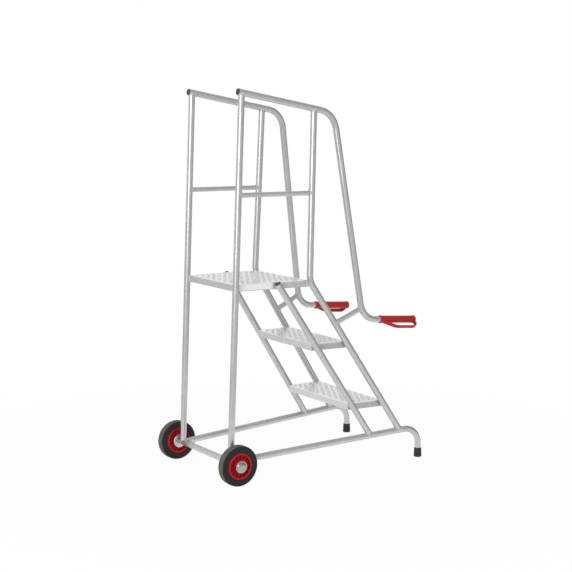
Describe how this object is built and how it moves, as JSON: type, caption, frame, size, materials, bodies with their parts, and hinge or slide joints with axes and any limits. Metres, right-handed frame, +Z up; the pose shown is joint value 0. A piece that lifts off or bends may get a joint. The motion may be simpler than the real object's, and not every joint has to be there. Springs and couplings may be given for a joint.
{
  "type": "mobile loading bay steps",
  "caption": "Wheeled steel steps for a loading bay: welded tube frame with side handrails, platform over treads, wheels at the dock end, rubber feet and barrow grips.",
  "frame": {"origin": "floor point in the middle of the footprint, wheels and feet on the floor", "axes": "+X from the wheels to the climbing end with its feet and grips, +Y to the left of someone who looks along +X, +Z up"},
  "size_m": [1.14, 0.659, 1.7853],
  "materials": {
    "galvanised_tube": "satin",
    "tread_plate": "satin",
    "zinc": "polished",
    "red_plastic": "gloss",
    "red_grip": "satin",
    "tyre_rubber": "matte",
    "foot_rubber": "matte",
    "plug_plastic": "matte"
  },
  "bodies": {
    "frame": {"cross_tube": "galvanised_tube", "handrail_left": "galvanised_tube", "handrail_right": "galvanised_tube", "front_post_left": "galvanised_tube", "front_post_right": "galvanised_tube", "base_rail_left": "galvanised_tube", "base_rail_right": "galvanised_tube", "rear_post_left": "galvanised_tube", "rear_post_right": "galvanised_tube", "front_stringer_left": "galvanised_tube", "front_stringer_right": "galvanised_tube", "mid_rail_left": "galvanised_tube", "mid_rail_right": "galvanised_tube", "brace_left": "galvanised_tube", "brace_right": "galvanised_tube", "platform": "tread_plate", "tread_upper": "tread_plate", "tread_lower": "tread_plate", "axle": "zinc", "grip_left": "red_grip", "grip_right": "red_grip", "foot_left": "foot_rubber", "foot_right": "foot_rubber", "rail_plug_left": "plug_plastic", "rail_plug_right": "plug_plastic", "stringer_plug_left": "plug_plastic", "stringer_plug_right": "plug_plastic"},
    "wheel_left": {"wheel_centre_left": "red_plastic", "tyre_left": "tyre_rubber", "hub_cap_left": "zinc", "hub_shield_left": "zinc"},
    "wheel_right": {"wheel_centre_right": "red_plastic", "tyre_right": "tyre_rubber", "hub_cap_right": "zinc", "hub_shield_right": "zinc"}
  },
  "joints": [
    {"name": "wheel_left_spin", "type": "hinge", "parent": "frame", "child": "wheel_left", "pos_m": [-0.476, 0.2875, 0.094], "axis": [0, 1, 0], "continuous": true},
    {"name": "wheel_right_spin", "type": "hinge", "parent": "frame", "child": "wheel_right", "pos_m": [-0.476, -0.2875, 0.094], "axis": [0, 1, 0], "continuous": true}
  ]
}
